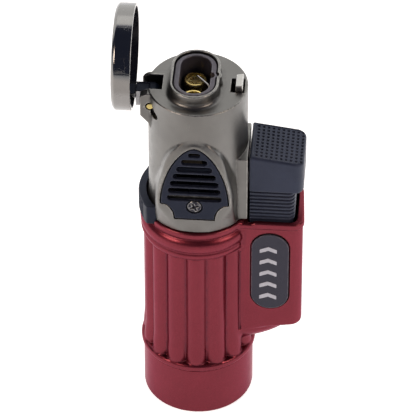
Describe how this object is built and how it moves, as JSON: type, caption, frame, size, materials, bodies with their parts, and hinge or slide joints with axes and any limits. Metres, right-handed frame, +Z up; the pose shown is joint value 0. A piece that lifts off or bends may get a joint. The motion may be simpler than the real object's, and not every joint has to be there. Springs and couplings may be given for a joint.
{
  "type": "butane torch",
  "caption": "Hand-held refillable torch lighter with a reeded body, hinged flip lid, twin burners in an oval collar, side thumb button and flame lever.",
  "frame": {"origin": "centre of the flat base, on the body's axis", "axes": "+Z up the body, +X towards the trigger housing, -Y is the front with the vented cover, the lid is hinged at -X"},
  "size_m": [0.0524, 0.0324, 0.132],
  "materials": {
    "red_paint": "satin metallic red paint",
    "gunmetal": "satin gunmetal plating",
    "polished_gunmetal": "polished gunmetal plating",
    "dark_metal": "dark satin",
    "black_plastic": "fine moulded texture",
    "plate_black": "semi-gloss",
    "brass": "turned",
    "steel": "bright",
    "spring_steel": "drawn wire",
    "smoked_plastic": "moulded",
    "grey_plastic": "moulded",
    "rubber": "matt",
    "ceramic": "glazed",
    "lead_red": "silicone"
  },
  "bodies": {
    "torch": {"body_casting": "red_paint", "name_plate": "plate_black", "bottom_cover": "black_plastic", "base_screw": "steel", "fuel_tank": "smoked_plastic", "tank_cap": "grey_plastic", "filler_valve": "brass", "filler_spring": "spring_steel", "filler_seal": "rubber", "gas_valve": "brass", "valve_spring": "spring_steel", "rocker_pin": "steel", "chassis": "grey_plastic", "gas_manifold": "brass", "gas_hose": "rubber", "gas_jet_front": "brass", "gas_jet_rear": "brass", "burner_tube_front": "brass", "burner_tube_rear": "brass", "flame_spreader_front": "brass", "flame_spreader_rear": "brass", "piezo_body": "grey_plastic", "piezo_spring": "spring_steel", "ignition_lead": "lead_red", "electrode": "steel", "electrode_insulator": "ceramic", "head_shell": "gunmetal", "vent_cover": "black_plastic", "vent_screw": "dark_metal", "wind_guard": "dark_metal", "lid_pin": "brass", "lid_spring": "spring_steel", "catch_spring": "spring_steel"},
    "lid": {"lid_cap": "polished_gunmetal", "lid_arm": "dark_metal"},
    "trigger": {"trigger_button": "black_plastic"},
    "plunger": {"piezo_plunger": "black_plastic"},
    "rocker": {"valve_rocker": "steel"},
    "outlet_stem": {"valve_stem": "steel"},
    "refill_stem": {"filler_stem": "steel"},
    "lever": {"flame_lever": "black_plastic"},
    "catch": {"lid_catch": "steel"}
  },
  "joints": [
    {"name": "lid_hinge", "type": "hinge", "parent": "torch", "child": "lid", "pos_m": [-0.0127, 0, 0.10465], "axis": [0, 1, 0], "range_deg": [0, 90], "stiffness_Nm_per_rad": 0.001, "deforming": ["lid_spring"]},
    {"name": "trigger_slide", "type": "slide", "parent": "torch", "child": "trigger", "axis": [0, 0, -1], "range_m": [0, 0.006], "stiffness_N_per_m": 900, "springref_m": -0.001},
    {"name": "plunger_slide", "type": "slide", "parent": "torch", "child": "plunger", "axis": [0, 0, -1], "range_m": [0, 0.006], "deforming": ["piezo_spring"]},
    {"name": "rocker_pivot", "type": "hinge", "parent": "torch", "child": "rocker", "pos_m": [0.0042, 0, 0.0722], "axis": [0, 1, 0], "range_deg": [0, 12]},
    {"name": "outlet_stem_lift", "type": "slide", "parent": "torch", "child": "outlet_stem", "axis": [0, 0, 1], "range_m": [0, 0.0009], "deforming": ["valve_spring"]},
    {"name": "refill_stem_slide", "type": "slide", "parent": "torch", "child": "refill_stem", "axis": [0, 0, 1], "range_m": [0, 0.0015], "stiffness_N_per_m": 400, "springref_m": -0.0005, "deforming": ["filler_spring"]},
    {"name": "flame_lever_turn", "type": "hinge", "parent": "torch", "child": "lever", "pos_m": [0, 0, 0.0658], "axis": [0, 0, -1], "range_deg": [0, 25]},
    {"name": "catch_slide", "type": "slide", "parent": "torch", "child": "catch", "axis": [-1, 0, 0], "range_m": [0, 0.001], "stiffness_N_per_m": 500, "springref_m": -0.0003, "deforming": ["catch_spring"]}
  ],
  "couplings": [
    {"joint": "plunger_slide", "follows": "trigger_slide", "ratio": 1},
    {"joint": "rocker_pivot", "follows": "trigger_slide", "rad_per_m": 34.9},
    {"joint": "outlet_stem_lift", "follows": "trigger_slide", "ratio": 0.145}
  ]
}
